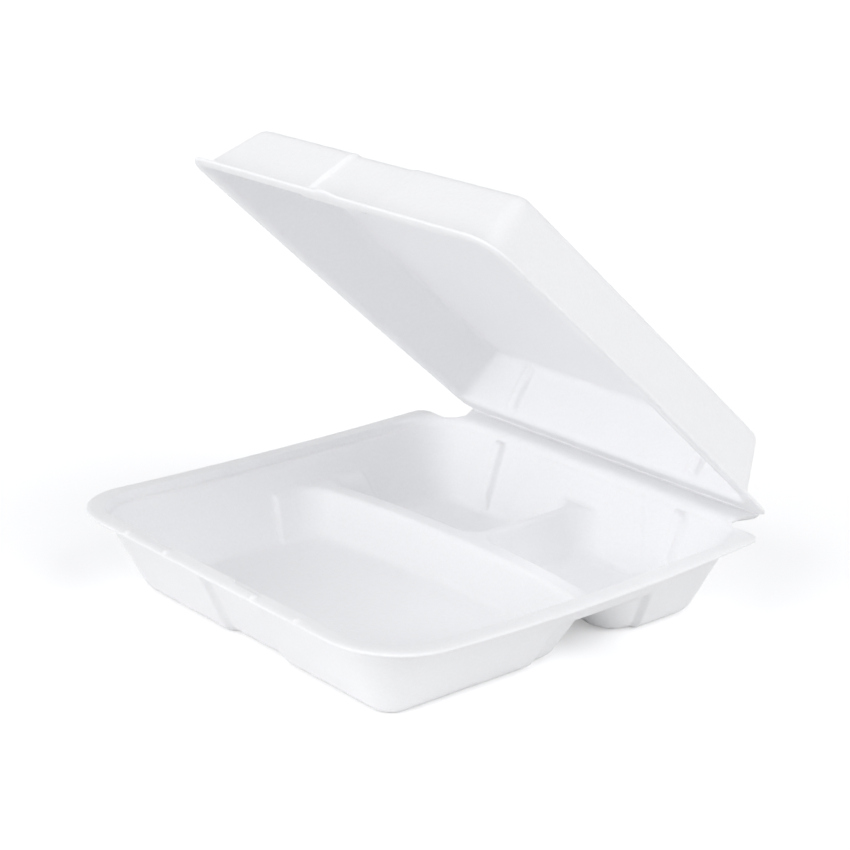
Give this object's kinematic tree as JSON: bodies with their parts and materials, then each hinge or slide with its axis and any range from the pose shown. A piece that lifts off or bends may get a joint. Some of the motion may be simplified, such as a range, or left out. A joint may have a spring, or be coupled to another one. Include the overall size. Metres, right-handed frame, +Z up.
{
  "type": "foam clamshell container",
  "caption": "White foam takeaway clamshell: a shallow tray split by curved dividers into a large front and small rear compartments, under a domed lid on a folded hinge, standing half open.",
  "frame": {"origin": "on the table, in the tray's middle: halfway across its rim and halfway from the front lip to the rim's back corners, on the underside of the front compartment", "axes": "+X to the right along the hinge seen from the front, +Y from the front lip back to the hinge, +Z up"},
  "size_m": [0.246, 0.2522, 0.2116],
  "materials": {
    "foam": "satin white expanded foam"
  },
  "bodies": {
    "tray": {"tray": "foam"},
    "lid": {"lid": "foam"}
  },
  "joints": [
    {"name": "crease", "type": "hinge", "parent": "tray", "child": "lid", "pos_m": [0, 0.1309, 0.04255], "axis": [-1, 0, 0], "range_deg": [-41.8, 138.2]}
  ]
}
